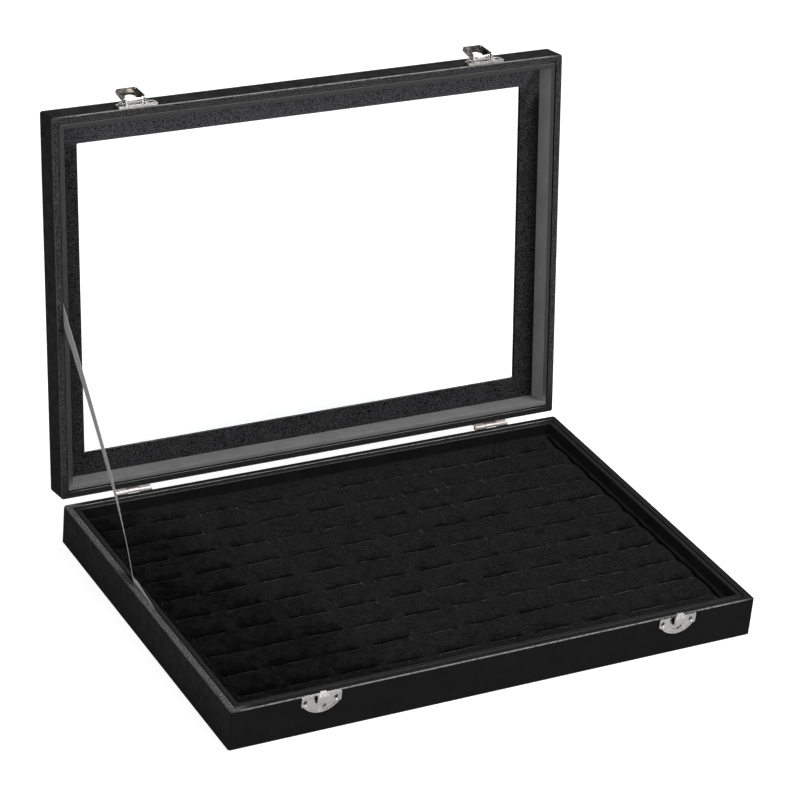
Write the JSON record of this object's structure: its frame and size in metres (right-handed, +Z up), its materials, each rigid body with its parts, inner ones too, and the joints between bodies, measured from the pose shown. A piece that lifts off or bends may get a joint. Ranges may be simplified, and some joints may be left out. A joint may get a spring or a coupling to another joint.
{
  "type": "ring display box",
  "caption": "Shallow black leatherette case with a slotted velvet ring pad and a hinged, glazed lid on a ribbon stay, held shut by two hook latches.",
  "frame": {"origin": "middle of the underside of the base, on the surface it stands on", "axes": "+X to the right, +Y from the latches to the hinges, +Z up; the lid stands open"},
  "size_m": [0.35, 0.3064, 0.2716],
  "materials": {
    "leatherette": "black leatherette with a fine grain, satin",
    "lid_lining": "charcoal satin over card",
    "tray_lining": "black leatherette over card, matt",
    "nail_steel": "dark steel",
    "velvet": "black velvet, short pile",
    "board": "raw fibreboard",
    "underside_felt": "black felt",
    "latch_nickel": "bright nickel plate",
    "hinge_nickel": "dull nickel plate",
    "glass": "clear float glass",
    "ribbon": "grey woven ribbon"
  },
  "bodies": {
    "base": {"base_front_wall": "leatherette", "base_right_wall": "leatherette", "base_back_wall": "leatherette", "base_left_wall": "leatherette", "base_bottom_board": "board", "base_underside_cover": "underside_felt", "base_liner_front": "tray_lining", "base_liner_right": "tray_lining", "base_liner_back": "tray_lining", "base_liner_left": "tray_lining", "ring_pad": "velvet", "left_catch_plate": "latch_nickel", "right_catch_plate": "latch_nickel", "catch_nails": "nail_steel", "left_hinge_base_leaf": "hinge_nickel", "right_hinge_base_leaf": "hinge_nickel", "left_hinge_pin": "hinge_nickel", "right_hinge_pin": "hinge_nickel", "base_hinge_nails": "nail_steel", "stay_ribbon": "ribbon"},
    "lid": {"lid_front_wall": "leatherette", "lid_right_wall": "leatherette", "lid_back_wall": "leatherette", "lid_left_wall": "leatherette", "lid_top_frame": "leatherette", "glass_pane": "glass", "window_flange": "velvet", "lid_liner_front": "lid_lining", "lid_liner_right": "lid_lining", "lid_liner_back": "lid_lining", "lid_liner_left": "lid_lining", "left_latch_plate": "latch_nickel", "right_latch_plate": "latch_nickel", "latch_nails": "nail_steel", "left_latch_pin": "latch_nickel", "right_latch_pin": "latch_nickel", "left_hinge_lid_leaf": "hinge_nickel", "right_hinge_lid_leaf": "hinge_nickel", "lid_hinge_nails": "nail_steel"},
    "left_lever": {"left_latch_lever": "latch_nickel"},
    "right_lever": {"right_latch_lever": "latch_nickel"}
  },
  "joints": [
    {"name": "lid_hinge", "type": "hinge", "parent": "base", "child": "lid", "pos_m": [0, 0.12285, 0.02615], "axis": [1, 0, 0], "range_deg": [0, 99], "deforming": ["stay_ribbon"]},
    {"name": "left_lever_pin", "type": "hinge", "parent": "lid", "child": "left_lever", "pos_m": [-0.119, 0.16813, 0.26951], "axis": [1, 0, 0], "range_deg": [0, 165]},
    {"name": "right_lever_pin", "type": "hinge", "parent": "lid", "child": "right_lever", "pos_m": [0.119, 0.16813, 0.26951], "axis": [1, 0, 0], "range_deg": [0, 165]}
  ]
}
